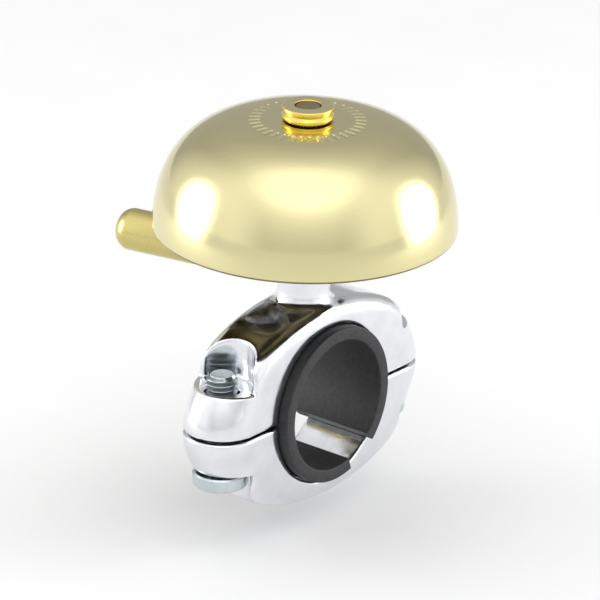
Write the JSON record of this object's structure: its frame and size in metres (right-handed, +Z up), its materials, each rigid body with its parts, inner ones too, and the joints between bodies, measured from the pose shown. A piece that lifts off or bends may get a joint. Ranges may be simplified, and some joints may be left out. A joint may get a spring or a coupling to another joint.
{
  "type": "bicycle bell",
  "caption": "Lever-struck brass bicycle bell on a split handlebar clamp with rubber shim; a sprung thumb lever swings a hammer inside the dome.",
  "frame": {"origin": "middle of the handlebar bore, on the bell's own axis", "axes": "+X along the handlebar, +Z up the bell's axis from the bar to the dome"},
  "size_m": [0.069, 0.0628, 0.0792],
  "materials": {
    "polished_brass": "polished",
    "turned_brass": "turned, satin",
    "polished_aluminium": "mirror polished casting",
    "zinc_steel": "bright zinc plated",
    "plain_steel": "plain",
    "spring_steel": "dark, oiled",
    "black_rubber": "matte"
  },
  "bodies": {
    "frame": {"clamp_upper": "polished_aluminium", "bar_shim": "black_rubber", "dome_stud": "zinc_steel", "bell_dome": "polished_brass", "dome_nut": "turned_brass", "crown_washer": "black_rubber", "spacer_sleeve": "zinc_steel", "lock_washer": "plain_steel", "base_plate": "plain_steel", "pivot_rivet": "plain_steel", "pivot_bush": "turned_brass", "pivot_washer": "plain_steel", "return_spring": "spring_steel", "spring_anchor_pin": "plain_steel", "stop_pin": "plain_steel", "stop_buffer": "black_rubber"},
    "lever": {"lever_arm": "plain_steel", "spring_drive_pin": "plain_steel", "thumb_knob": "turned_brass", "knob_pin": "plain_steel", "hammer_leaf": "spring_steel", "leaf_rivet_1": "plain_steel", "leaf_rivet_2": "plain_steel"},
    "striker": {"hammer": "turned_brass", "hammer_rivet": "plain_steel"},
    "clamp_cap": {"clamp_lower": "polished_aluminium", "clamp_bolt_1": "zinc_steel", "clamp_bolt_2": "zinc_steel"}
  },
  "joints": [
    {"name": "lever_swing", "type": "hinge", "parent": "frame", "child": "lever", "pos_m": [-0.01225, -0.00251, 0.02625], "axis": [0, 0, -1], "range_deg": [0, 22], "stiffness_Nm_per_rad": 0.05, "springref_deg": -8.59, "deforming": ["return_spring"]},
    {"name": "hammer_flex", "type": "hinge", "parent": "lever", "child": "striker", "pos_m": [-0.0039, 0.019, 0.02765], "axis": [-0.9796, -0.2011, 0], "range_deg": [0, 5], "stiffness_Nm_per_rad": 0.02, "deforming": ["hammer_leaf"]},
    {"name": "clamp_cap_slide", "type": "slide", "parent": "frame", "child": "clamp_cap", "axis": [0, 0, -1], "range_m": [0, 0.005]}
  ]
}
